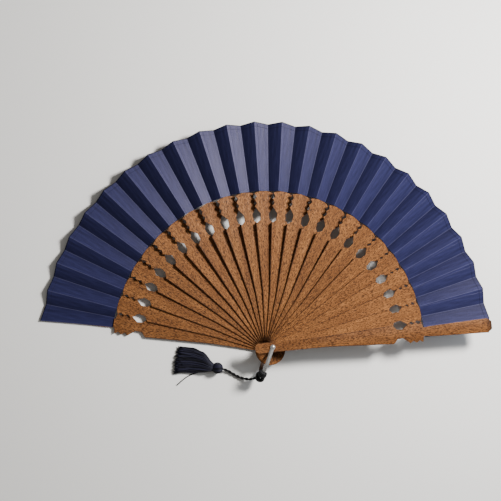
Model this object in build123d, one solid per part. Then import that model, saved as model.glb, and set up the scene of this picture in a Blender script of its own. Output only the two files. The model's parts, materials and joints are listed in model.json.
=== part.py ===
from build123d import *
import math
import os

# Pleated cloth folding fan, lying open on its rear guard. Millimetres, +Z up.
# The origin is on the rivet's axis, at the foot of the rivet's lower head.
# Sticks are numbered from the rear guard (0) to the front guard, and turn about +Z.

# driving dimensions
RIB_COUNT = 22
OPEN_PITCH = 7.17           # degrees from one stick to the next when open
FRONT_GUARD_EXTRA = 0.5     # degrees that the front guard opens further
LEAF_OUTER_R = 215.6        # at the rim's raised folds
VALLEY_OUTER_R = 213.6      # at the rim's low folds
FIRST_CORNER_R = 216.5      # at the rim's corner on the rear guard
LEAF_INNER_R = 149.0
HEAD_END_R = 16.8           # how far a stick's head reaches behind the rivet
RIB_THICK = 0.55
RIB_PITCH_Z = 0.95          # height from one rib to the next
RIB_TWIST = 0.28            # slope across a rib where its shaft ends
RIB_TWIST_STEP = 0.036      # the same beside the guards, and its growth from rib to rib
TWIST_START_R = 25.0
GUARD_THICK = 2.8
GUARD_GAP = 0.45            # between a guard and its nearest rib
GUARD_RECESS = 1.2          # cut into a guard's inner face for the leaf
GUARD_CROWN_R = 31.0        # cross-section radius of the front guard's face
LEAF_MARGIN = 0.3           # from the recess's end to the leaf's inner edge
STRIP_THICK = 0.30
STRIP_HALF_WIDTH = 4.0
LEAF_THICK = 0.20
LEAF_CLEARANCE = 0.01       # between a glued panel and its strip
GLUED_ANGLE = 3.80          # angle that a glued panel spans
FIRST_EDGE_ANGLES = (1.56, 2.33)    # the first panel's free edge, inner and outer end
PLEAT_AMPLITUDE = 2.8       # height of a fold above its stick at the rim
PLEAT_AMPLITUDE_END = 1.0   # the same beside the guards
PLEAT_AMPLITUDE_STEP = 0.4
FOLD_GAP = 0.3              # between one pleat and the next
PIN_R = 1.5
PIN_CLEARANCE = 0.05
PIN_FOOT_R = 2.2
PIN_FOOT_THICK = 0.6
PIN_DOME_R = 1.9
PIN_DOME_THICK = 0.9
BAIL_ANGLE = 252.0
BAIL_THICK = 1.0
BAIL_EDGE_THICK = 0.4
BAIL_WIDTH = 3.6
BAIL_EYE_R = 2.3
BAIL_LEG = 16.3             # straight part of each leg
BAIL_LOW_Z = 0.7
BAIL_GAP = 0.1              # between the bail and the stick heads
HEAD_FLAT_R = 9.0           # a guard's head is thin and flat up to here,
HEAD_RAMP_R = 45.0          # and reaches its full thickness here
KNOT_R = 4.2
KNOT_HOLE_R = 2.3
KNOT_HEIGHT = 6.4
CORD_R = 1.4
BALL_R = 5.4

STICKS = RIB_COUNT + 2
FIRST_ANGLE = 90 + OPEN_PITCH * (STICKS - 1) / 2
FIRST_RIB_Z = GUARD_THICK + GUARD_GAP + RIB_THICK / 2
LAST_RIB_Z = FIRST_RIB_Z + RIB_PITCH_Z * (RIB_COUNT - 1)
FRONT_GUARD_Z = LAST_RIB_Z + RIB_THICK / 2 + GUARD_GAP
REAR_LEAF_Z = GUARD_THICK - GUARD_RECESS + LEAF_THICK / 2
FRONT_LEAF_Z = FRONT_GUARD_Z + GUARD_RECESS - LEAF_THICK / 2
HEAD_LOW_Z = BAIL_LOW_Z + BAIL_THICK + BAIL_GAP
HEAD_HIGH_Z = FRONT_GUARD_Z + GUARD_THICK - HEAD_LOW_Z
BAIL_HIGH_Z = HEAD_HIGH_Z + BAIL_GAP
BAIL_MID_Z = (BAIL_LOW_Z + BAIL_HIGH_Z + BAIL_THICK) / 2
BAIL_REACH = BAIL_LEG + (BAIL_HIGH_Z - BAIL_LOW_Z) / 2
KNOT_X = BAIL_REACH * math.cos(math.radians(BAIL_ANGLE))
KNOT_Y = BAIL_REACH * math.sin(math.radians(BAIL_ANGLE))

# half outline of every stick: distance from the rivet and half width
SHAFT_OUTLINE = [
    (-12.5, 5.0), (-5.0, 4.9), (10.0, 4.7), (30.0, 4.7), (54.0, 5.05), (117.5, 8.9),
    (121.3, 4.6), (127.3, 4.1),
]
TOOTH_ROOT = 7.5
TOOTH_TIP = 9.6
TOOTH_PITCH = 6.3
TOOTH_COUNT = 3
FIRST_TOOTH_R = 134.0
RIB_END_R = 148.8
GUARD_BLADE = [(147.5, 4.0), (156.0, 4.9)]
BLADE_END_R = 216.5
REAR_BLADE_SHORTER = 2.0    # so that the leaf hides the rear guard's end


os.makedirs("parts", exist_ok=True)


def save(shape, name):
    shape.label = name
    export_step(shape, f"parts/{name}.step")


def stick_angle(index):
    extra = FRONT_GUARD_EXTRA if index == STICKS - 1 else 0
    return FIRST_ANGLE - OPEN_PITCH * index - extra


def rib_z(index):
    return FIRST_RIB_Z + RIB_PITCH_Z * (index - 1)


def steps_from_guard(index):
    return min(index - 1, RIB_COUNT - index)


def pleat_amplitude(index):
    """Height of the folds beside a stick above and below it, at the rim."""
    if index in (0, STICKS - 1):
        return 0.0
    grown = PLEAT_AMPLITUDE_END + PLEAT_AMPLITUDE_STEP * steps_from_guard(index)
    return min(PLEAT_AMPLITUDE, grown)


def blade_tilt(index):
    """Tilt in degrees of a glued panel about its stick."""
    half_width = LEAF_OUTER_R * math.sin(math.radians(GLUED_ANGLE / 2))
    return math.degrees(math.atan(pleat_amplitude(index) / half_width))


def shaft_tilt(index):
    """Tilt in degrees of a rib's shaft where it meets the leaf."""
    slope = RIB_TWIST_STEP * (1 + steps_from_guard(index))
    return math.degrees(math.atan(min(RIB_TWIST, slope)))


def leaf_z(index):
    """Height of the middle of a glued panel, on the stick's axis."""
    if index == 0:
        return REAR_LEAF_Z
    if index == STICKS - 1:
        return FRONT_LEAF_Z
    lift = (STRIP_THICK + LEAF_THICK) / 2 / math.cos(math.radians(blade_tilt(index)))
    return rib_z(index) + lift + LEAF_CLEARANCE


def teeth():
    points = []
    for tooth in range(TOOTH_COUNT):
        tip_r = FIRST_TOOTH_R + TOOTH_PITCH * tooth
        points.append((tip_r, TOOTH_TIP))
        if tooth < TOOTH_COUNT - 1:
            points.append((tip_r + TOOTH_PITCH / 2, TOOTH_ROOT))
    return points


def stick_face(outer_end):
    """Outline of a stick; without outer points it ends in a low crown between its last teeth."""
    half = SHAFT_OUTLINE + teeth() + outer_end
    other_half = [(x, -width) for x, width in reversed(half)]
    sides = [Polyline(*half), Polyline(*other_half)]
    if outer_end:
        crown = Line(half[-1], other_half[0])
    else:
        crown = ThreePointArc(half[-1], (RIB_END_R, 0), other_half[0])
    head = ThreePointArc(other_half[-1], (-HEAD_END_R, 0), half[0])
    return make_face([*sides, crown, head])


def pin_hole():
    return Cylinder(PIN_R + PIN_CLEARANCE, 100)


def slab(x_low, x_high, z_low, z_high, width=40.0):
    size_x = x_high - x_low
    size_z = z_high - z_low
    return Pos((x_low + x_high) / 2, 0, (z_low + z_high) / 2) * Box(size_x, width, size_z)


def head_cut(depth):
    """What a guard's outer face loses at its head: flat round the rivet, then a long ramp."""
    side = Polyline(
        (-20, -1), (HEAD_RAMP_R, -1), (HEAD_RAMP_R, 0), (HEAD_FLAT_R, depth), (-20, depth), close=True,
    )
    return extrude(Plane.XZ * make_face(side), 20, both=True)


def place(shape, index):
    return Rot(0, 0, stick_angle(index)) * shape


# ribs

def rib_strip(index):
    """Thin strip behind the leaf, tilted with its panel; its narrow nose runs into the shaft."""
    outline = Polyline(
        (141.0, -0.8), (149.5, -0.8), (152.0, -STRIP_HALF_WIDTH), (213.0, -STRIP_HALF_WIDTH),
        (213.0, STRIP_HALF_WIDTH), (152.0, STRIP_HALF_WIDTH), (149.5, 0.8), (141.0, 0.8),
        close=True,
    )
    return Rot(blade_tilt(index), 0, 0) * extrude(make_face(outline), STRIP_THICK / 2, both=True)


def twisted_slab(index):
    """Slab of a rib's thickness, level at its inner end and tilted at its outer end."""
    section = Plane.YZ * Rectangle(24, RIB_THICK)
    inner = Pos(TWIST_START_R, 0, 0) * section
    outer = Pos(RIB_END_R + 0.2, 0, 0) * Rot(shaft_tilt(index), 0, 0) * section
    return loft([inner, outer], ruled=True)


def rib(index):
    prism = extrude(stick_face([]), 6, both=True)
    level = prism & slab(-20, TWIST_START_R, -RIB_THICK / 2, RIB_THICK / 2)
    body = level + (prism & twisted_slab(index)) + rib_strip(index)
    body = Pos(0, 0, rib_z(index)) * body - pin_hole()
    return place(body, index)


# guards

def guard_blade(end_r):
    """Outer points of a guard's outline, up to its rounded end."""
    return [*GUARD_BLADE, (end_r - 4.0, 6.9), (end_r, 3.8)]


def rear_guard():
    outline = stick_face(guard_blade(BLADE_END_R - REAR_BLADE_SHORTER))
    body = extrude(outline, GUARD_THICK)
    body -= slab(LEAF_INNER_R - LEAF_MARGIN, 230, GUARD_THICK - GUARD_RECESS, GUARD_THICK + 1)
    body -= head_cut(HEAD_LOW_Z)
    body -= pin_hole()
    return place(body, 0)


def front_guard():
    body = extrude(stick_face(guard_blade(BLADE_END_R)), GUARD_THICK)
    crown = Pos(100, 0, GUARD_THICK - GUARD_CROWN_R) * Rot(0, 90, 0) * Cylinder(GUARD_CROWN_R, 300)
    body &= crown
    body -= slab(LEAF_INNER_R - LEAF_MARGIN, 230, -1, GUARD_RECESS)
    body -= mirror(Pos(0, 0, -GUARD_THICK) * head_cut(HEAD_LOW_Z), Plane.XY)
    body = Pos(0, 0, FRONT_GUARD_Z) * body - pin_hole()
    return place(body, STICKS - 1)


# leaf

def fold_point(index, side, share):
    """Point on the left (+1) or right (-1) fold line of a stick's glued panel, from the
    leaf's inner edge (share 0) to its rim (share 1)."""
    offset = side * GLUED_ANGLE / 2
    outer_r = LEAF_OUTER_R if side > 0 else VALLEY_OUTER_R
    if (index, side) == (0, 1):
        offset = FIRST_EDGE_ANGLES[share]
        outer_r = FIRST_CORNER_R
    angle = math.radians(stick_angle(index) + offset)
    radius = LEAF_INNER_R + share * (outer_r - LEAF_INNER_R)
    height = leaf_z(index) + side * pleat_amplitude(index) * radius / LEAF_OUTER_R
    return Vector(radius * math.cos(angle), radius * math.sin(angle), height)


def free_edge_point(index, share):
    """Point where a free panel stops, just short of the next stick's left fold."""
    near = fold_point(index, -1, share)
    far = fold_point(index + 1, 1, share)
    return far + (near - far).normalized() * FOLD_GAP


def panel(left_inner, right_inner, left_outer, right_outer):
    """Closed solid of the leaf's thickness between a left and a right edge."""
    half = Vector(0, 0, LEAF_THICK / 2)
    corners = [left_inner, right_inner, right_outer, left_outer]
    top = [corner + half for corner in corners]
    bottom = [corner - half for corner in corners]
    faces = []

    def add(*points):
        faces.append(Face(Wire.make_polygon(points, close=True)))

    for layer in (top, bottom):
        add(layer[0], layer[1], layer[2])
        add(layer[0], layer[2], layer[3])
    for n in range(4):
        after = (n + 1) % 4
        add(bottom[n], bottom[after], top[after], top[n])
    return Solid(Shell(faces))


def glued_panel(index):
    edges = [fold_point(index, side, share) for share in (0, 1) for side in (1, -1)]
    return panel(*edges)


def free_panel(index):
    inner, outer = [(fold_point(index, -1, share), free_edge_point(index, share)) for share in (0, 1)]
    return panel(*inner, *outer)


def leaf_pleat(index):
    """One pleat: the panel on a stick and the free panel beside it."""
    return Compound([glued_panel(index), free_panel(index)])


# rivet and bail

def rivet():
    top = BAIL_HIGH_Z + BAIL_THICK + 0.05
    foot = Pos(0, 0, PIN_FOOT_THICK / 2) * Cylinder(PIN_FOOT_R, PIN_FOOT_THICK)
    pin = Pos(0, 0, top / 2) * Cylinder(PIN_R, top)
    dome_sphere_r = (PIN_DOME_R ** 2 + PIN_DOME_THICK ** 2) / (2 * PIN_DOME_THICK)
    dome = Pos(0, 0, top + PIN_DOME_THICK - dome_sphere_r) * Sphere(dome_sphere_r)
    dome &= Pos(0, 0, top + 5) * Box(10, 10, 10)
    return foot + pin + dome


def bail_section():
    """Across the strip: flat inside, crowned outside."""
    half_width = BAIL_WIDTH / 2
    inside = BAIL_THICK / 2
    edge = inside - BAIL_EDGE_THICK
    sides = Polyline((-half_width, edge), (-half_width, inside), (half_width, inside), (half_width, edge))
    crown = ThreePointArc((half_width, edge), (0, -inside), (-half_width, edge))
    return make_face([sides, crown])


def bail():
    half_height = (BAIL_HIGH_Z - BAIL_LOW_Z) / 2
    lower = Line((0, 0, -half_height), (BAIL_LEG, 0, -half_height))
    bend = ThreePointArc(lower @ 1, (BAIL_LEG + half_height, 0, 0), (BAIL_LEG, 0, half_height))
    upper = Line(bend @ 1, (0, 0, half_height))
    start = Plane(origin=lower @ 0, x_dir=(0, 1, 0), z_dir=(1, 0, 0))
    body = sweep(start * bail_section(), path=lower + bend + upper)
    for height in (-half_height, half_height):
        body += Pos(0, 0, height) * Cylinder(BAIL_EYE_R, BAIL_THICK)
    body = Pos(0, 0, BAIL_MID_Z) * body - pin_hole()
    return Rot(0, 0, BAIL_ANGLE) * body


# tassel

CORD_ROUTE = [
    (-12.2, -28.5, 12.0), (-15.4, -30.2, 7.6), (-20.0, -30.6, 3.0), (-26.5, -29.3, 1.5),
    (-33.8, -25.6, 1.5), (-39.6, -22.3, 2.4), (-44.2, -21.4, 4.4),
]
BALL_CENTRE = (-48.9, -20.6, BALL_R + 0.05)
SKIRT_ANGLE = 170.8
# sections of the flattened skirt: distance from the ball's centre, shift to the skirt's left,
# half width, half thickness
SKIRT_SECTIONS = [
    (3.2, 0.0, 3.4, 3.2), (7.2, -0.3, 5.0, 3.6), (15.0, -2.8, 9.4, 3.4),
    (25.0, -3.2, 11.8, 2.6), (38.0, -1.0, 13.4, 1.6),
]


def knot():
    body = Cylinder(KNOT_R, KNOT_HEIGHT)
    body = fillet(body.edges().filter_by(GeomType.CIRCLE), 1.2)
    body -= Cylinder(KNOT_HOLE_R, KNOT_HEIGHT + 1)
    return Pos(KNOT_X, KNOT_Y, BAIL_MID_Z) * body


def corner_radii(points):
    radii = []
    for before, corner, after in zip(points, points[1:], points[2:]):
        run_in = Vector(*corner) - Vector(*before)
        run_out = Vector(*after) - Vector(*corner)
        turn = math.radians(run_in.get_angle(run_out))
        radii.append(0.45 * min(run_in.length, run_out.length) / math.tan(turn / 2))
    return radii


def cord():
    radii = corner_radii(CORD_ROUTE)
    path = FilletPolyline(*CORD_ROUTE, radius=radii)
    section = Plane(origin=path @ 0, z_dir=path % 0) * Circle(CORD_R)
    tube = sweep(section, path=path)
    print("cord radii", [round(r, 1) for r in radii])
    print("cord length", round(path.length, 2), "volume", round(tube.volume, 2),
          "section x length", round(path.length * math.pi * CORD_R ** 2, 2))
    return tube - knot() - tassel_ball()


def tassel_ball():
    return Pos(*BALL_CENTRE) * Sphere(BALL_R)


def tassel_skirt():
    faces = []
    for distance, shift, half_width, half_thick in SKIRT_SECTIONS:
        middle = (distance, shift, half_thick + 0.05)
        plane = Plane(origin=middle, x_dir=(0, 1, 0), z_dir=(1, 0, 0))
        faces.append(plane * Ellipse(half_width, half_thick))
    skirt = Pos(BALL_CENTRE[0], BALL_CENTRE[1], 0) * Rot(0, 0, SKIRT_ANGLE) * loft(faces)
    return skirt - tassel_ball()


save(rear_guard(), "rear_guard")
for number in range(1, RIB_COUNT + 1):
    save(rib(number), f"rib_{number:02d}")
save(front_guard(), "front_guard")
for number in range(STICKS - 1):
    save(leaf_pleat(number), f"leaf_pleat_{number + 1:02d}")
save(glued_panel(STICKS - 1), "leaf_end_panel")
save(rivet(), "rivet")
save(bail(), "bail")
save(knot(), "tassel_knot")
save(cord(), "tassel_cord")
save(tassel_ball(), "tassel_ball")
save(tassel_skirt(), "tassel_skirt")
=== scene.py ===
import json
import math
import random

import bpy
from mathutils import Matrix, Vector
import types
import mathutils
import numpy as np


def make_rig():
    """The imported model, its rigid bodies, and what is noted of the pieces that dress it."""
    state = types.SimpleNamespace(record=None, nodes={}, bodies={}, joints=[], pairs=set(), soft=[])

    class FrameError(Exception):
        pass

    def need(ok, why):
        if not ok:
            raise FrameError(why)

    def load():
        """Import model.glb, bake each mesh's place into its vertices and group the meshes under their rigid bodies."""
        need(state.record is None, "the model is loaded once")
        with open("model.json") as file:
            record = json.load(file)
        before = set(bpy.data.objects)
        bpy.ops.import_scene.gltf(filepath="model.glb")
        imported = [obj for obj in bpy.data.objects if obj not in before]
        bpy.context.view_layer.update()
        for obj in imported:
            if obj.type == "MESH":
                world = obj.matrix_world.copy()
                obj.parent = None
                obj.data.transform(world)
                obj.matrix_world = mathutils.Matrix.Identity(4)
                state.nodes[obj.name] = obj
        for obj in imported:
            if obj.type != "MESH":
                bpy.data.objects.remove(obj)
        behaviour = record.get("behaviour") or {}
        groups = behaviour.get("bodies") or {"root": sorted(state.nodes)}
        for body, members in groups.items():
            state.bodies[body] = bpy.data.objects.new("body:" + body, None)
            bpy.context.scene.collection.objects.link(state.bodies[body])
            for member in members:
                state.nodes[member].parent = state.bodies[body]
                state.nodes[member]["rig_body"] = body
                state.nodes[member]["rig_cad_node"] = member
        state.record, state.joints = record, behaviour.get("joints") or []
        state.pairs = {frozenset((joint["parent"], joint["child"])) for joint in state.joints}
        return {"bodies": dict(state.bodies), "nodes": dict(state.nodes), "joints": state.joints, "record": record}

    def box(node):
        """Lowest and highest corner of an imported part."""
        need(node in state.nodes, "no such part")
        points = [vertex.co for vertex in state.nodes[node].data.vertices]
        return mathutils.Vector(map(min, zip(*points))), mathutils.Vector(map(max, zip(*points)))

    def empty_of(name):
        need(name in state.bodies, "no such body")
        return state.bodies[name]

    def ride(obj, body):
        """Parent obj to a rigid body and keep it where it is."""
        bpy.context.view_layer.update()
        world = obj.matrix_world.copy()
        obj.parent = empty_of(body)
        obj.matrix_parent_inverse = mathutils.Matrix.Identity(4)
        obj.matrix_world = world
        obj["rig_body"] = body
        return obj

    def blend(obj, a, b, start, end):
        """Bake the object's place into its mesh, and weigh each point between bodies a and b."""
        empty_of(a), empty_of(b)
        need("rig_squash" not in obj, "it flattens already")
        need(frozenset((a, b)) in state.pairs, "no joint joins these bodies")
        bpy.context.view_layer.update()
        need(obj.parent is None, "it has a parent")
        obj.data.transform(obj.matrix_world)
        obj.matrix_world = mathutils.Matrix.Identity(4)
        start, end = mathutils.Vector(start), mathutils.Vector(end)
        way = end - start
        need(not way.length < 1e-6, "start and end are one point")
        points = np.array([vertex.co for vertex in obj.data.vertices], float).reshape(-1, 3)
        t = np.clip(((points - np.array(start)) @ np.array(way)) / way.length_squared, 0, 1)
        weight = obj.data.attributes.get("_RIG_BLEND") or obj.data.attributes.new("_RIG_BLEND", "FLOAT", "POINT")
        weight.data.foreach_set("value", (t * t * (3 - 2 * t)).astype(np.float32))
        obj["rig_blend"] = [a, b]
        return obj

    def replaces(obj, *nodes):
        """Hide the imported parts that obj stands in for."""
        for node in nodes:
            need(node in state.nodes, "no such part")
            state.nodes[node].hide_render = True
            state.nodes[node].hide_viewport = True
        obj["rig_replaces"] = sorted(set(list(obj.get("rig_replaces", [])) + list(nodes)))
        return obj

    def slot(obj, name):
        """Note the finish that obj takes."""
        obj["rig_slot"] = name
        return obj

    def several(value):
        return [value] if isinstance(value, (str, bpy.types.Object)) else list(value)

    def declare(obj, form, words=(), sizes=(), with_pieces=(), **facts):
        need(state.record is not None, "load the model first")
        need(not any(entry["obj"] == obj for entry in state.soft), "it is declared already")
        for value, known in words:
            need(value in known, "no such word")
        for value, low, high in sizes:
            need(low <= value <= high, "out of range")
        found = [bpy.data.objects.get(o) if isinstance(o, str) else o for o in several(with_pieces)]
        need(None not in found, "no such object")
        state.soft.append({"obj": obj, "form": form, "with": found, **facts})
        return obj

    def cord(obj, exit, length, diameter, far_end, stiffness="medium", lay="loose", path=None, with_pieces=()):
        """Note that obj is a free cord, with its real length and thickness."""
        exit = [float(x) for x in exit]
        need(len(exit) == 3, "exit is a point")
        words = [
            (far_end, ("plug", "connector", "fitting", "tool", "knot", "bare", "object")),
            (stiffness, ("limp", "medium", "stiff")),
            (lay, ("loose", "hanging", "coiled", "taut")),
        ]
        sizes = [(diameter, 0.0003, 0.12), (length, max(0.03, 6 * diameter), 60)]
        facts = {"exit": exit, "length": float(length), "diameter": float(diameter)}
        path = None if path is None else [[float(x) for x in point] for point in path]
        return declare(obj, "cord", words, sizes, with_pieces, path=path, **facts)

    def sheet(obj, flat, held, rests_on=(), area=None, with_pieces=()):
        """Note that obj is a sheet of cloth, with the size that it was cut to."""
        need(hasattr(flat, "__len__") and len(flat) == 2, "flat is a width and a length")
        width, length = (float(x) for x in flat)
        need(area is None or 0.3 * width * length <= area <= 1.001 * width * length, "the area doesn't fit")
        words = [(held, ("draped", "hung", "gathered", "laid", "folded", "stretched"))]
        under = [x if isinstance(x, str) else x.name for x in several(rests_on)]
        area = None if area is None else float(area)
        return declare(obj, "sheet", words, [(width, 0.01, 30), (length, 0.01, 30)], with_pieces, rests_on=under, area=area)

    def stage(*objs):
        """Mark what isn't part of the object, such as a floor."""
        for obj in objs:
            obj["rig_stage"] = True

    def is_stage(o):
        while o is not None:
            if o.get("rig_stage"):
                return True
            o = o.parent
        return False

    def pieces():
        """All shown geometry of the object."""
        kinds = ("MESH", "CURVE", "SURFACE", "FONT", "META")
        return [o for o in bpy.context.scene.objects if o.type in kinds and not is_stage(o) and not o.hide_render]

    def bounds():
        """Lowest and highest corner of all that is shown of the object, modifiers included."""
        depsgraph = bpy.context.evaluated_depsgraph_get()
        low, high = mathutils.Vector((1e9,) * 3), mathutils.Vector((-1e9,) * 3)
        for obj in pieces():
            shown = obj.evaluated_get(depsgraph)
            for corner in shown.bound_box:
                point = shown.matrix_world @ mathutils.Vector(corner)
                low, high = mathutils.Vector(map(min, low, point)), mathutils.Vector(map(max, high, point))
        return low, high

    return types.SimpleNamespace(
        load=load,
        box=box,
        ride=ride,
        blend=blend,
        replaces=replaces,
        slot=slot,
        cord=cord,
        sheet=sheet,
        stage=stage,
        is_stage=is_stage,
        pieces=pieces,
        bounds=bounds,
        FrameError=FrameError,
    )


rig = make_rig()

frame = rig.load()
cad_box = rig.bounds()

# sizes in metres and angles in radians, the same as in the CAD model
RIB_COUNT = 22
LAST_STICK = RIB_COUNT + 1
OPEN_PITCH = math.radians(7.17)
FRONT_GUARD_EXTRA = math.radians(0.5)
FIRST_ANGLE = math.radians(90) + OPEN_PITCH * LAST_STICK / 2

# half widths of a stick where its shaft starts to widen and where it ends
SHAFT_START_R, SHAFT_START_WIDTH = 0.054, 0.00505
SHAFT_END_R, SHAFT_END_WIDTH = 0.1175, 0.0089
BLADE_END_R = 0.2165

LEAF_INNER_R = 0.149
LEAF_OUTER_R = 0.2156      # at the rim's raised folds
VALLEY_OUTER_R = 0.2136    # at the rim's low folds
FIRST_CORNER_R = 0.2165    # at the rim's corner on the rear guard
LEAF_THICK = 0.0002
LEAF_ROWS = 14
HEM_WIDTH = 0.0045
HEM_RISE = 0.00012
HEM_STEP = 0.0002
RIM_EDGE = 0.0004
GLUED_HALF_ANGLE = math.radians(3.80 / 2)
FIRST_EDGE_ANGLES = (math.radians(1.56), math.radians(2.33))
PLEAT_AMPLITUDE = 0.0028
PLEAT_AMPLITUDE_END = 0.0010
PLEAT_AMPLITUDE_STEP = 0.0004
STRIP_HALF_THICK = 0.00015
LEAF_CLEARANCE = 0.00001
STRIP_HALF_WIDTH = 0.0040
STRIP_IMPRINT = 0.00010
STRIP_IMPRINT_WIDTH = 0.00025

BAIL_ANGLE = math.radians(252)
BAIL_LEG = 0.0163
BAIL_WIDTH = 0.0036
BAIL_THICK = 0.0010

KNOT_STRAND_R = 0.00130
KNOT_COIL_R = 0.00325
KNOT_COIL_HEIGHT = 0.0040
KNOT_TURNS = 2.5
KNOT_STEPS = 90
KNOT_LEAN = 0.0021
WRAP_STRAND_R = 0.00115
WRAP_START, WRAP_END = math.radians(21), math.radians(48)
WRAP_TURNS = 3.0
WRAP_HEIGHT = 0.0018
WRAP_STEPS = 84
# shift across the bail's strip, radius
LINING_STRANDS = [(-0.00075, 0.00058), (0.0, 0.00070), (0.00075, 0.00058)]

CORD_R = 0.0014
CORD_ROUTE = [
    (-0.0122, -0.0285, 0.0120), (-0.0154, -0.0302, 0.0076), (-0.0200, -0.0306, 0.0030),
    (-0.0265, -0.0293, 0.0015), (-0.0338, -0.0256, 0.0015), (-0.0396, -0.0223, 0.0024),
    (-0.0442, -0.0214, 0.0044),
]
STRAY_ROUTE = [
    (-0.0630, -0.0240, 0.0016), (-0.0705, -0.0262, 0.0008), (-0.0765, -0.0290, 0.0005),
    (-0.0815, -0.0330, 0.0005), (-0.0862, -0.0374, 0.0005),
]
STRAY_THREAD_R = 0.00050

BALL_STRANDS = 40
BALL_STEPS = 20
BALL_STRAND_R = 0.00041
BALL_CORE_DEPTH = 0.00055
BALL_SLANT = 0.9

SKIRT_ANGLE = math.radians(170.8)
# distance from the ball's centre, shift to the skirt's left, half width, half thickness
SKIRT_SECTIONS = [
    (0.0040, 0.0000, 0.0034, 0.0030), (0.0072, -0.0003, 0.0050, 0.0034),
    (0.0110, -0.0016, 0.0077, 0.0034), (0.0150, -0.0028, 0.0096, 0.0031),
    (0.0250, -0.0032, 0.0119, 0.0024), (0.0400, -0.0008, 0.0136, 0.0015),
]
SKIRT_LENGTH = 0.0385
SKIRT_THREADS = 360


def stick_name(index):
    if index == 0:
        return "rear_guard"
    return "front_guard" if index == LAST_STICK else f"rib_{index:02d}"


def stick_angle(index):
    extra = FRONT_GUARD_EXTRA if index == LAST_STICK else 0
    return FIRST_ANGLE - OPEN_PITCH * index - extra


# camera, light and floor

def add_camera():
    data = bpy.data.cameras.new("camera")
    data.sensor_width = 36
    data.lens = 93.14
    camera = bpy.data.objects.new("camera", data)
    camera.location = (-0.23647, -0.01262, 1.21957)
    camera.rotation_euler = (0.080608, -0.178536, 0.021815)
    bpy.context.scene.collection.objects.link(camera)
    bpy.context.scene.camera = camera


def add_area_light(name, place, target, size, power, colour, glossy=True):
    data = bpy.data.lights.new(name, "AREA")
    data.shape = "SQUARE"
    data.size = size
    data.energy = power
    data.color = colour
    light = bpy.data.objects.new(name, data)
    light.location = place
    light.visible_glossy = glossy
    light.rotation_euler = (Vector(target) - Vector(place)).to_track_quat("-Z", "Y").to_euler()
    bpy.context.scene.collection.objects.link(light)


def add_lights():
    middle = (0, 0.08, 0)
    add_area_light("key_light", (0.48, 0.37, 0.58), middle, 0.18, 15.6, (1.0, 0.97, 0.92))
    add_area_light("cool_light", (1.10, 0.25, 0.75), middle, 0.8, 4.5, (0.80, 0.90, 1.0), glossy=False)
    world = bpy.data.worlds.new("studio")
    world.use_nodes = True
    background = world.node_tree.nodes["Background"]
    background.inputs["Color"].default_value = (1.0, 0.96, 0.89, 1)
    background.inputs["Strength"].default_value = 0.22
    bpy.context.scene.world = world


def add_floor():
    size = 3.0
    mesh = bpy.data.meshes.new("floor")
    corners = [(x * size, y * size, 0) for x, y in ((-1, -1), (1, -1), (1, 1), (-1, 1))]
    mesh.from_pydata(corners, [], [(0, 1, 2, 3)])
    floor = bpy.data.objects.new("floor", mesh)
    bpy.context.scene.collection.objects.link(floor)
    shader = Shader("floor_paint", (0.86, 0.86, 0.86), roughness=0.8)
    floor.data.materials.append(shader.material)
    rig.stage(floor)


# materials

# how many features a metre the wood has along the stick, across it and through it
FIGURE_SCALE = (14, 150, 60)
STREAK_SCALE = (70, 1100, 500)
PORE_SCALE = (440, 1750, 1200)


class Shader:
    """A material's node tree, with short calls that add nodes and join them."""

    def __init__(self, name, colour, **values):
        self.material = bpy.data.materials.new(name)
        self.material.use_nodes = True
        self.material.diffuse_color = (*colour, 1)
        self.tree = self.material.node_tree
        self.surface = self.tree.nodes["Principled BSDF"]
        self.surface.inputs["Base Color"].default_value = (*colour, 1)
        for socket, value in values.items():
            self.surface.inputs[socket.replace("_", " ").title()].default_value = value

    def add(self, kind, inputs, output=0, **settings):
        """Adds a node; an input is a number, a tuple or another node's output."""
        node = self.tree.nodes.new("ShaderNode" + kind)
        for name, value in settings.items():
            setattr(node, name, value)
        for key, value in inputs.items():
            if isinstance(value, bpy.types.NodeSocket):
                self.tree.links.new(value, node.inputs[key])
            else:
                node.inputs[key].default_value = value
        return node.outputs[output]

    def math(self, operation, first, second=0.0):
        return self.add("Math", {0: first, 1: second}, operation=operation)

    def place(self, vector, scale, turn=0.0, shift=(0, 0, 0)):
        """Turns a position about Z, then shifts and scales it."""
        level = self.add("VectorRotate", {"Vector": vector, "Angle": turn}, rotation_type="Z_AXIS")
        moved = self.add("VectorMath", {0: level, 1: shift}, operation="ADD")
        return self.add("VectorMath", {0: moved, 1: scale}, operation="MULTIPLY")

    def noise(self, vector, detail=3.0, roughness=0.5, distortion=0.0):
        inputs = {"Vector": vector, "Scale": 1.0, "Detail": detail,
                  "Roughness": roughness, "Distortion": distortion}
        return self.add("TexNoise", inputs)

    def between(self, value, low, high, to_low=0.0, to_high=1.0):
        inputs = {"Value": value, "From Min": low, "From Max": high, "To Min": to_low, "To Max": to_high}
        return self.add("MapRange", inputs)

    def mix(self, factor, first, second, blend_type="MIX"):
        node = self.tree.nodes.new("ShaderNodeMix")
        node.data_type = "RGBA"
        node.blend_type = blend_type
        for socket, value in ((node.inputs[0], factor), (node.inputs[6], first), (node.inputs[7], second)):
            if isinstance(value, bpy.types.NodeSocket):
                self.tree.links.new(value, socket)
            else:
                socket.default_value = value if isinstance(value, float) else (*value, 1)
        return node.outputs[2]

    def colour(self, output):
        self.tree.links.new(output, self.surface.inputs["Base Color"])

    def roughness(self, output):
        self.tree.links.new(output, self.surface.inputs["Roughness"])

    def bump(self, height, distance, strength=1.0):
        inputs = {"Height": height, "Distance": distance, "Strength": strength}
        self.tree.links.new(self.add("Bump", inputs), self.surface.inputs["Normal"])


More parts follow.
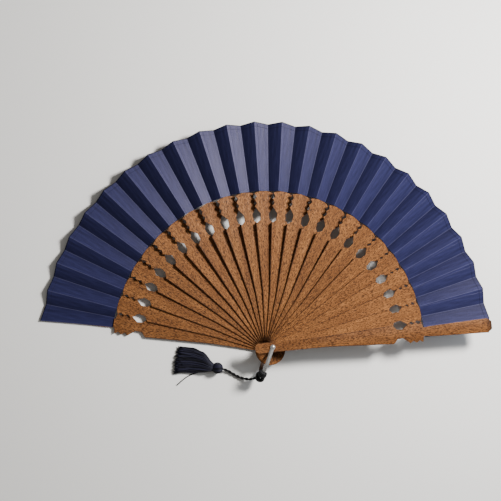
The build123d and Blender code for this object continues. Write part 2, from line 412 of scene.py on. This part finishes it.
def painted_edge_shade(shader, local):
    """Mask of painted shade: 1 along the long edges of a stick's shaft, standing in for the next stick's shadow, and
    at a guard's tip; x runs along the stick.
    """
    along = shader.add("SeparateXYZ", {0: local}, output=0)
    across = shader.math("ABSOLUTE", shader.add("SeparateXYZ", {0: local}, output=1))
    half_width = shader.between(along, SHAFT_START_R, SHAFT_END_R, SHAFT_START_WIDTH, SHAFT_END_WIDTH)
    inset = shader.math("SUBTRACT", half_width, across)
    edge = shader.between(inset, 0.00025, 0.00085, 1.0, 0.0)
    shaft = shader.between(along, SHAFT_END_R - 0.001, SHAFT_END_R + 0.001, 1.0, 0.0)
    tip = shader.between(along, BLADE_END_R - 0.0060, BLADE_END_R - 0.0010, 0.0, 1.1)
    return shader.math("MAXIMUM", shader.math("MULTIPLY", edge, shaft), tip)


def wood_material(index):
    """Open-pored reddish wood with its grain along the stick."""
    random.seed(100 + index)
    shift = (random.uniform(-1, 1), random.uniform(-1, 1), random.uniform(-1, 1))
    # a random tone per stick, times painted shade that darkens the sticks nearest the rear guard
    tone_and_painted_shade = random.uniform(0.90, 1.10) * min(1.0, 0.86 + 0.02 * index)
    pale = (0.300 * tone_and_painted_shade, 0.122 * tone_and_painted_shade, 0.038 * tone_and_painted_shade)
    deep = (0.120 * tone_and_painted_shade, 0.042 * tone_and_painted_shade, 0.012 * tone_and_painted_shade)
    pore_and_painted_shade = (0.018, 0.006, 0.003)
    shader = Shader(f"wood_{stick_name(index)}", pale, roughness=0.5)
    shader.surface.inputs["Specular IOR Level"].default_value = 0.10
    here = shader.add("TexCoord", {}, output=3)
    turn = -stick_angle(index)
    figure = shader.noise(shader.place(here, FIGURE_SCALE, turn, shift), detail=4, distortion=0.6)
    colour = shader.mix(shader.between(figure, 0.36, 0.66, 0.0, 0.6), pale, deep)
    streaks = shader.noise(shader.place(here, STREAK_SCALE, turn, shift), detail=3)
    colour = shader.mix(shader.between(streaks, 0.40, 0.72, 0.0, 0.55), colour, deep)
    pores = shader.noise(shader.place(here, PORE_SCALE, turn, shift), detail=4, roughness=0.7)
    pits = shader.between(pores, 0.47, 0.56)
    colour = shader.mix(shader.math("MULTIPLY", pits, 0.85), colour, pore_and_painted_shade)
    # painted shade: a shaft's long edges and a guard's tip, darkened towards the pore colour
    edge = painted_edge_shade(shader, shader.place(here, (1, 1, 1), turn))
    colour = shader.mix(shader.math("MULTIPLY", edge, 0.72), colour, pore_and_painted_shade)
    shader.colour(colour)
    shader.roughness(shader.between(streaks, 0.3, 0.8, 0.42, 0.60))
    shader.bump(shader.math("SUBTRACT", shader.math("MULTIPLY", streaks, 0.4), pits), 0.00010, 0.7)
    return shader.material


def leaf_material(name, shade, gloss, left_painted_light, right_painted_light):
    """Navy cloth; its shade factor and its grading from a panel's left fold to its right one are painted light and
    shade.

    u runs across a panel from fold to fold, and v is the distance from the rivet in metres."""
    navy = tuple(part * shade for part in (0.019, 0.020, 0.064))
    shader = Shader(name, navy, roughness=0.32, sheen_weight=0.05, sheen_roughness=0.4)
    shader.surface.inputs["Sheen Tint"].default_value = (0.60, 0.60, 0.95, 1)
    shader.surface.inputs["Specular IOR Level"].default_value = gloss
    shader.surface.inputs["Specular Tint"].default_value = (0.80, 0.76, 1.0, 1)
    there = shader.add("TexCoord", {}, output=2)
    parts = shader.tree.nodes.new("ShaderNodeSeparateXYZ")
    shader.tree.links.new(there, parts.inputs[0])
    across, along = parts.outputs[0], parts.outputs[1]
    streaks = shader.noise(shader.place(there, (34, 55, 1)), detail=4, roughness=0.65)
    cloud = shader.noise(shader.place(there, (5, 70, 1)), detail=3)
    light = shader.between(streaks, 0.35, 0.72, 0.72, 1.45)
    light = shader.math("MULTIPLY", light, shader.between(cloud, 0.3, 0.7, 0.85, 1.15))
    # painted light and shade, graded across the panel from fold to fold
    light = shader.math("MULTIPLY", light, shader.between(across, 0.0, 1.0, left_painted_light, right_painted_light))
    colour = shader.mix(1.0, navy, shader.add("CombineColor", {0: light, 1: light, 2: light}), "MULTIPLY")
    # painted highlight: a thin lighter line along both folds of each panel, where a sharp fold catches the light
    to_fold = shader.math("ABSOLUTE", shader.math("SUBTRACT", across, 0.5))
    crease = shader.between(to_fold, 0.478, 0.498)
    colour = shader.mix(shader.math("MULTIPLY", crease, 0.5), colour, (0.12, 0.12, 0.22))
    rim = shader.between(along, LEAF_OUTER_R - 0.0009, LEAF_OUTER_R - 0.0005)
    colour = shader.mix(shader.math("MULTIPLY", rim, 0.85), colour, (0.003, 0.003, 0.006))
    # a thin dark line along the hem's inner edge
    from_hem_edge = shader.math("ABSOLUTE", shader.math("SUBTRACT", along, LEAF_OUTER_R - HEM_WIDTH))
    hem_edge_line = shader.between(from_hem_edge, 0.0, 0.00035, 1.0, 0.0)
    colour = shader.mix(shader.math("MULTIPLY", hem_edge_line, 0.55), colour, (0.006, 0.006, 0.012))
    shader.colour(colour)
    weave_across = shader.math("SINE", shader.math("MULTIPLY", across, 210.0))
    weave_along = shader.math("SINE", shader.math("MULTIPLY", along, 18000.0))
    weave = shader.math("MULTIPLY", weave_across, weave_along)
    height = shader.math("ADD", shader.math("MULTIPLY", weave, 0.25), streaks)
    shader.bump(height, 0.00006, 0.5)
    return shader.material


def steel_material():
    """Polished strip with fine scratches along it."""
    shader = Shader("polished_steel", (0.86, 0.86, 0.87), metallic=1.0, roughness=0.26)
    here = shader.add("TexCoord", {}, output=3)
    scratches = shader.noise(shader.place(here, (260, 2600, 2600), -BAIL_ANGLE), detail=3)
    shader.roughness(shader.between(scratches, 0.3, 0.8, 0.20, 0.38))
    shader.bump(scratches, 0.00001, 0.35)
    return shader.material


def thread_material(name, dark, light, fibre_scale):
    """Silky thread, a little different from strand to strand."""
    shader = Shader(name, dark, roughness=0.55, sheen_weight=0.04, sheen_roughness=0.35)
    shader.surface.inputs["Specular IOR Level"].default_value = 0.2
    shader.surface.inputs["Sheen Tint"].default_value = (0.5, 0.55, 0.9, 1)
    strand = shader.add("NewGeometry", {}, output=8)
    here = shader.add("TexCoord", {}, output=3)
    fibres = shader.noise(shader.place(here, (fibre_scale,) * 3), detail=3)
    mixed = shader.math("ADD", shader.math("MULTIPLY", strand, 0.6), shader.math("MULTIPLY", fibres, 0.4))
    shader.colour(shader.mix(shader.between(mixed, 0.3, 0.9), dark, light))
    shader.bump(fibres, 0.00005, 0.6)
    return shader.material


# mesh helpers

def new_piece(name, points, faces, material, smooth=True):
    mesh = bpy.data.meshes.new(name)
    mesh.from_pydata([tuple(point) for point in points], [], faces)
    mesh.update()
    for polygon in mesh.polygons:
        polygon.use_smooth = smooth
    mesh.materials.append(material)
    piece = bpy.data.objects.new(name, mesh)
    bpy.context.scene.collection.objects.link(piece)
    return piece


class Tubes:
    """Collects round strands into one mesh."""

    def __init__(self, sides):
        self.sides = sides
        self.points = []
        self.faces = []

    def add(self, path, radius):
        """Adds a closed strand of one radius."""
        first = len(self.points)
        last = len(path) - 1
        normal = None
        for n, centre in enumerate(path):
            ahead = (path[min(n + 1, last)] - path[max(n - 1, 0)]).normalized()
            start = normal or ahead.orthogonal()
            normal = (start - ahead * start.dot(ahead)).normalized()
            side = ahead.cross(normal)
            for k in range(self.sides):
                turn = 2 * math.pi * k / self.sides
                self.points.append(centre + (normal * math.cos(turn) + side * math.sin(turn)) * radius)
        for n in range(last):
            for k in range(self.sides):
                a = first + n * self.sides + k
                b = first + n * self.sides + (k + 1) % self.sides
                self.faces.append((a, b, b + self.sides, a + self.sides))
        ring = range(self.sides)
        self.faces.append(tuple(first + k for k in reversed(ring)))
        self.faces.append(tuple(first + last * self.sides + k for k in ring))


# leaf

def leaf_height(index):
    """Height of the middle of a glued panel, on the stick's axis."""
    if index == 0:
        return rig.box("leaf_pleat_01")[0].z + LEAF_THICK / 2
    if index == LAST_STICK:
        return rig.box("leaf_end_panel")[0].z + LEAF_THICK / 2
    low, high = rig.box(stick_name(index))
    tilt = math.atan(pleat_amplitude(index) / (LEAF_OUTER_R * math.sin(GLUED_HALF_ANGLE)))
    lift = (STRIP_HALF_THICK + LEAF_THICK / 2) / math.cos(tilt)
    return (low.z + high.z) / 2 + lift + LEAF_CLEARANCE


def pleat_amplitude(index):
    """Height of the folds beside a stick above and below it, at the rim."""
    if index in (0, LAST_STICK):
        return 0.0
    from_guard = min(index - 1, RIB_COUNT - index)
    return min(PLEAT_AMPLITUDE, PLEAT_AMPLITUDE_END + PLEAT_AMPLITUDE_STEP * from_guard)


def fold_point(index, side, distance):
    """Point on the left (+1) or right (-1) fold line of a stick's glued panel.

    The distance from the rivet is that of a raised fold; the low folds end a little nearer."""
    share = (distance - LEAF_INNER_R) / (LEAF_OUTER_R - LEAF_INNER_R)
    offset = side * GLUED_HALF_ANGLE
    rim_r = LEAF_OUTER_R if side > 0 else VALLEY_OUTER_R
    if (index, side) == (0, 1):
        offset = FIRST_EDGE_ANGLES[0] + share * (FIRST_EDGE_ANGLES[1] - FIRST_EDGE_ANGLES[0])
        rim_r = FIRST_CORNER_R
    angle = stick_angle(index) + offset
    radius = LEAF_INNER_R + share * (rim_r - LEAF_INNER_R)
    height = leaf_height(index) + side * pleat_amplitude(index) * radius / LEAF_OUTER_R
    return Vector((radius * math.cos(angle), radius * math.sin(angle), height))


def leaf_rows():
    """Distances from the rivet of a panel's rows, with a pair of them at the hem's edge."""
    hem_r = LEAF_OUTER_R - HEM_WIDTH
    rows = [LEAF_INNER_R + (hem_r - LEAF_INNER_R) * n / LEAF_ROWS for n in range(LEAF_ROWS + 1)]
    return rows + [hem_r + HEM_STEP, LEAF_OUTER_R - RIM_EDGE, LEAF_OUTER_R]


def hem_rise(radius):
    """The hem's second layer, which stops just short of the rim."""
    return HEM_RISE if LEAF_OUTER_R - HEM_WIDTH < radius < LEAF_OUTER_R - RIM_EDGE / 2 else 0.0


def plain_profile(half_width):
    """Across a free panel: only its two fold lines."""
    return [(0.0, 0.0), (1.0, 0.0)]


def strip_profile(half_width):
    """Across a glued panel: shares of its width, and how far the strip below lifts the cloth."""
    edge = STRIP_HALF_WIDTH / half_width
    soft = STRIP_IMPRINT_WIDTH / half_width
    marks = [(-1, 0), (-edge - soft, 0), (-edge, 1), (0, 0.8), (edge, 1), (edge + soft, 0), (1, 0)]
    return [((place + 1) / 2, lift * STRIP_IMPRINT) for place, lift in marks]


def flat_profile(half_width):
    return [(n / 4, 0.0) for n in range(5)]


def panel(name, left, right, profile, material):
    """Cloth between two fold lines, each a function of the radius, as one closed thin mesh."""
    rows = leaf_rows()
    points = []
    shares = []
    for layer in (1, -1):
        for radius in rows:
            a, b = left(radius), right(radius)
            for share, rise in profile((a - b).length / 2):
                lift = LEAF_THICK / 2 + rise + hem_rise(radius) if layer > 0 else -LEAF_THICK / 2
                points.append(a.lerp(b, share) + Vector((0, 0, lift)))
                shares.append(share)
    columns = len(profile(1))
    faces, uvs = [], []
    size = len(rows) * columns

    def add(*corners):
        faces.append(corners)
        uvs.extend((shares[corner], rows[corner % size // columns]) for corner in corners)

    for row in range(len(rows) - 1):
        for k in range(columns - 1):
            a = row * columns + k
            add(a, a + columns, a + columns + 1, a + 1)
            add(a + size, a + size + 1, a + size + columns + 1, a + size + columns)
        for k in (0, columns - 1):
            a = row * columns + k
            edge = (a, a + columns, a + columns + size, a + size)
            add(*(reversed(edge) if k == 0 else edge))
    for row in (0, len(rows) - 1):
        for k in range(columns - 1):
            a = row * columns + k
            edge = (a, a + 1, a + 1 + size, a + size)
            add(*(reversed(edge) if row else edge))
    piece = new_piece(name, points, faces, material, smooth=False)
    layer = piece.data.uv_layers.new(name="cloth")
    for n, value in enumerate(uvs):
        layer.data[n].uv = value
    return piece


def declare_panel(piece, left, right):
    """Says the size that the panel was cut to: a strip that narrows towards the sticks."""
    inner = (left(LEAF_INNER_R) - right(LEAF_INNER_R)).length
    outer = (left(LEAF_OUTER_R) - right(LEAF_OUTER_R)).length
    length = LEAF_OUTER_R - LEAF_INNER_R
    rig.slot(piece, "leaf_cloth")
    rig.sheet(piece, flat=(outer, length), held="folded", area=(inner + outer) / 2 * length)


def folding_ends(index):
    """Where the bend of a free panel starts and ends, so that each fold line keeps to its own stick."""
    open_next = stick_angle(0) - stick_angle(index + 1)
    share = (stick_angle(0) - stick_angle(index)) / open_next
    way = 0.5 - math.sin(math.asin(1 - 2 * share) / 3)
    valley = fold_point(index, -1, LEAF_INNER_R)
    angle = stick_angle(index) - GLUED_HALF_ANGLE
    towards = Vector((math.sin(angle), -math.cos(angle), 0))
    free_angle = angle - stick_angle(index + 1) - GLUED_HALF_ANGLE
    reach = 0.95 * LEAF_INNER_R * math.sin(free_angle)
    back = reach * way / (1 - way)
    return valley - towards * back, valley + towards * reach


def add_leaf():
    # one navy cloth in three copies whose shade factors and fold tones are painted light and shade: lighter on glued
    # panels, darker on free ones
    lit = leaf_material("leaf_cloth_glued", 0.94, 0.11, 1.08, 0.80)
    matt = leaf_material("leaf_cloth_end", 0.82, 0.04, 0.75, 1.15)
    free = leaf_material("leaf_cloth_free", 0.8, 0.10, 0.66, 1.20)
    for index in range(LAST_STICK + 1):
        def left(radius, i=index):
            return fold_point(i, 1, radius)

        def right(radius, i=index):
            return fold_point(i, -1, radius)

        def next_left(radius, i=index):
            return fold_point(i + 1, 1, radius)

        profile = flat_profile if index in (0, LAST_STICK) else strip_profile
        glued = panel(f"leaf_glued_{index + 1:02d}", left, right, profile, lit)
        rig.ride(glued, stick_name(index))
        declare_panel(glued, left, right)
        if index == LAST_STICK:
            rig.replaces(glued, "leaf_end_panel")
            continue
        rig.replaces(glued, f"leaf_pleat_{index + 1:02d}")
        cloth = matt if index >= LAST_STICK - 3 else free
        loose = panel(f"leaf_free_{index + 1:02d}", right, next_left, plain_profile, cloth)
        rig.replaces(loose, f"leaf_pleat_{index + 1:02d}")
        start, end = folding_ends(index)
        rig.blend(loose, "rear_guard", stick_name(index + 1), start=start, end=end)
        declare_panel(loose, right, next_left)


# tassel

def smooth_route(points):
    """Points along the smooth line that a cord with this route takes."""
    data = bpy.data.curves.new("route", "CURVE")
    data.dimensions = "3D"
    data.resolution_u = 24
    spline = data.splines.new("NURBS")
    spline.points.add(len(points) - 1)
    for point, place in zip(spline.points, points):
        point.co = (*place, 1)
    spline.order_u = 3
    spline.use_endpoint_u = True
    curve = bpy.data.objects.new("route", data)
    mesh = bpy.data.meshes.new_from_object(curve)
    line = [vertex.co.copy() for vertex in mesh.vertices]
    bpy.data.objects.remove(curve)
    return line


def line_length(line):
    return sum((b - a).length for a, b in zip(line, line[1:]))


def twisted(line, strands, lay_radius, pitch):
    """Paths of the strands that twist about a line."""
    paths = [[] for _ in range(strands)]
    last = len(line) - 1
    normal, walked = None, 0.0
    for n, centre in enumerate(line):
        ahead = (line[min(n + 1, last)] - line[max(n - 1, 0)]).normalized()
        start = normal or ahead.orthogonal()
        normal = (start - ahead * start.dot(ahead)).normalized()
        side = ahead.cross(normal)
        walked += (centre - line[n - 1]).length if n else 0.0
        for k in range(strands):
            turn = 2 * math.pi * (walked / pitch + k / strands)
            paths[k].append(centre + (normal * math.cos(turn) + side * math.sin(turn)) * lay_radius)
    return paths


def add_cord(material):
    line = smooth_route(CORD_ROUTE)
    tubes = Tubes(10)
    for path in twisted(line, 2, CORD_R * 0.48, 0.0090):
        tubes.add(path, CORD_R * 0.52)
    piece = new_piece("tassel_cord_twisted", tubes.points, tubes.faces, material)
    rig.ride(piece, "tassel")
    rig.replaces(piece, "tassel_cord")
    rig.slot(piece, "tassel_thread")
    return piece, line


def knot_coil(centre):
    """The turns of cord round the upright part of the bail."""
    coil = []
    for n in range(KNOT_STEPS + 1):
        turn = 2 * math.pi * KNOT_TURNS * n / KNOT_STEPS
        height = (n / KNOT_STEPS - 0.5) * KNOT_COIL_HEIGHT
        coil.append(centre + Vector((KNOT_COIL_R * math.cos(turn), KNOT_COIL_R * math.sin(turn), height)))
    return coil


def knot_wrap(centre, lean):
    """A turn of cord slung over the coil on the side away from the rivet."""
    away = math.atan2(centre.y, centre.x)
    wrap = []
    for n in range(KNOT_STEPS + 1):
        swing = 2.2 * (n / KNOT_STEPS - 0.5)
        out = 0.0034 + 0.0013 * math.cos(1.4 * swing)
        height = lean * math.sin(2.6 * swing)
        turn = away + swing
        wrap.append(centre + Vector((out * math.cos(turn), out * math.sin(turn), height)))
    return wrap


def add_knot(material):
    low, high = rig.box("tassel_knot")
    centre = (low + high) / 2
    tubes = Tubes(10)
    tubes.add(knot_coil(centre), KNOT_STRAND_R)
    for lean in (KNOT_LEAN, -KNOT_LEAN):
        tubes.add(knot_wrap(centre, lean), KNOT_STRAND_R)
    piece = new_piece("tassel_knot_wraps", tubes.points, tubes.faces, material)
    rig.ride(piece, "tassel")
    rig.replaces(piece, "tassel_knot")
    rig.slot(piece, "tassel_thread")
    return piece


def bail_bend(angle):
    """Middle of the bail's strip at an angle up its bend, and the way out of the bend there."""
    low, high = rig.box("bail")
    bend_r = (high.z - low.z - BAIL_THICK) / 2
    leg = Vector((math.cos(BAIL_ANGLE), math.sin(BAIL_ANGLE), 0))
    out = leg * math.cos(angle) + Vector((0, 0, math.sin(angle)))
    return leg * BAIL_LEG + Vector((0, 0, (low.z + high.z) / 2)) + out * bend_r, out


def bail_coil(across):
    """Turns of cord wound tight round the bail's bend, above the knot."""
    path = []
    for n in range(WRAP_STEPS + 1):
        share = n / WRAP_STEPS
        centre, out = bail_bend(WRAP_START + (WRAP_END - WRAP_START) * share)
        turn = 2 * math.pi * WRAP_TURNS * share - math.pi / 2
        sway = 1 + 0.10 * math.sin(5.3 * share * WRAP_TURNS)
        wide = (BAIL_WIDTH / 2 + WRAP_STRAND_R) * sway
        path.append(centre + across * wide * math.cos(turn) + out * WRAP_HEIGHT * math.sin(turn))
    return path


def bail_lining(across, shift, radius):
    """A strand that lies along the outside of the bail's strip, inside the knot."""
    path = []
    for n in range(21):
        centre, out = bail_bend(math.radians(-14 + 2 * n))
        path.append(centre + across * shift + out * (BAIL_THICK / 2 + radius))
    return path


def add_bail_wraps(material):
    across = Vector((-math.sin(BAIL_ANGLE), math.cos(BAIL_ANGLE), 0))
    tubes = Tubes(10)
    tubes.add(bail_coil(across), WRAP_STRAND_R)
    for shift, radius in LINING_STRANDS:
        tubes.add(bail_lining(across, shift, radius), radius)
    piece = new_piece("bail_wraps", tubes.points, tubes.faces, material)
    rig.ride(piece, "bail")
    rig.slot(piece, "tassel_thread")
    return piece


def ball_centre():
    low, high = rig.box("tassel_ball")
    return (low + high) / 2


def ball_point(centre, radius, down, turn):
    """Point at an angle down from the pole that faces the skirt, and a turn about it."""
    axis = Vector((math.cos(SKIRT_ANGLE), math.sin(SKIRT_ANGLE), 0))
    spot = Vector((math.sin(down) * math.cos(turn), math.sin(down) * math.sin(turn), math.cos(down)))
    return centre + axis.to_track_quat("Z", "Y") @ (spot * radius)


def ball_strand(centre, radius, first_turn):
    """A strand that runs from pole to pole on a slant."""
    path = []
    for n in range(BALL_STEPS + 1):
        down = math.pi * (0.06 + 0.88 * n / BALL_STEPS)
        turn = first_turn + BALL_SLANT * (n / BALL_STEPS - 0.5)
        path.append(ball_point(centre, radius, down, turn))
    return path


def add_ball_core(tubes, centre, radius):
    """Adds the closed round core that the strands lie on."""
    rings, sides = 14, 24
    first = len(tubes.points)
    for ring in range(rings + 1):
        down = math.pi * (0.02 + 0.96 * ring / rings)
        for k in range(sides):
            tubes.points.append(ball_point(centre, radius, down, 2 * math.pi * k / sides))
    for ring in range(rings):
        for k in range(sides):
            a = first + ring * sides + k
            b = first + ring * sides + (k + 1) % sides
            tubes.faces.append((a, a + sides, b + sides, b))
    tubes.faces.append(tuple(first + k for k in range(sides)))
    tubes.faces.append(tuple(first + rings * sides + k for k in reversed(range(sides))))


def add_ball(material):
    """A round head wound with thread from pole to pole."""
    low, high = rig.box("tassel_ball")
    ball_r = (high.x - low.x) / 2
    centre = ball_centre()
    tubes = Tubes(6)
    for k in range(BALL_STRANDS):
        first_turn = 2 * math.pi * k / BALL_STRANDS
        tubes.add(ball_strand(centre, ball_r - BALL_STRAND_R, first_turn), BALL_STRAND_R)
    add_ball_core(tubes, centre, ball_r - BALL_CORE_DEPTH)
    piece = new_piece("tassel_ball_wound", tubes.points, tubes.faces, material)
    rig.ride(piece, "tassel")
    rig.replaces(piece, "tassel_ball")
    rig.slot(piece, "tassel_thread")
    return piece


def skirt_section(distance):
    """Shift, half width and half thickness of the skirt at a distance from the ball's centre."""
    for near, far in zip(SKIRT_SECTIONS, SKIRT_SECTIONS[1:]):
        if distance <= far[0]:
            break
    share = (distance - near[0]) / (far[0] - near[0])
    return [a + (b - a) * share for a, b in zip(near[1:], far[1:])]


def skirt_thread(across, up, length, sway, steps=16):
    """One thread from the ball to the ragged end; across and up run from -1 to 1."""
    path = []
    start = SKIRT_SECTIONS[0][0]
    for n in range(steps + 1):
        share = n / steps
        distance = start + (length - start) * share
        shift, half_width, half_thick = skirt_section(distance)
        side = shift + across * half_width + sway * share * math.sin(5.2 * share + 9 * across)
        height = half_thick * (1 + up) + 0.0004 + 0.0014 * (1 - share) ** 3
        path.append((distance, side, height))
    centre = ball_centre()
    turn = Matrix.Rotation(SKIRT_ANGLE, 3, "Z")
    return [turn @ Vector(point) + Vector((centre.x, centre.y, 0)) for point in path]


def add_skirt(material):
    random.seed(7)
    tubes = Tubes(6)
    for _ in range(SKIRT_THREADS):
        turn = random.uniform(0, 2 * math.pi)
        out = math.sqrt(random.uniform(0.05, 1))
        across, up = out * math.cos(turn), out * math.sin(turn)
        length = SKIRT_LENGTH + random.gauss(0, 0.0014) - 0.0012 * abs(across)
        path = skirt_thread(across, up, length, random.uniform(-0.0016, 0.0016))
        tubes.add(path, random.uniform(0.00030, 0.00055))
    piece = new_piece("tassel_skirt_threads", tubes.points, tubes.faces, material)
    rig.ride(piece, "tassel")
    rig.replaces(piece, "tassel_skirt")
    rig.slot(piece, "tassel_thread")
    return piece


def add_stray_thread(material):
    tubes = Tubes(8)
    tubes.add(smooth_route(STRAY_ROUTE), STRAY_THREAD_R)
    piece = new_piece("tassel_stray_thread", tubes.points, tubes.faces, material)
    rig.ride(piece, "tassel")
    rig.slot(piece, "tassel_thread")
    return piece


def add_tassel():
    braid = thread_material("cord_thread", (0.0015, 0.0015, 0.002), (0.006, 0.006, 0.009), 2400)
    silk = thread_material("tassel_silk", (0.0015, 0.0015, 0.004), (0.022, 0.022, 0.048), 2600)
    cord, line = add_cord(braid)
    others = [
        add_knot(braid), add_bail_wraps(braid), add_ball(silk), add_skirt(silk),
        add_stray_thread(braid),
    ]
    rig.cord(cord, exit=line[0], length=round(line_length(line), 4), diameter=2 * CORD_R,
            far_end="fitting", stiffness="limp", lay="loose", path=line, with_pieces=others)


def set_material(node, material):
    mesh = frame["nodes"][node].data
    mesh.materials.clear()
    mesh.materials.append(material)


def finish_cad_nodes():
    for index in range(LAST_STICK + 1):
        set_material(stick_name(index), wood_material(index))
    steel = steel_material()
    for node in ("rivet", "bail"):
        set_material(node, steel)


add_camera()
add_tassel()
add_leaf()
finish_cad_nodes()
add_lights()
add_floor()

boxes = {"cad": cad_box, "visual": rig.bounds()}
plain = {name: [list(corner) for corner in box] for name, box in boxes.items()}
with open("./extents.json", "w") as file:
    json.dump(plain, file)
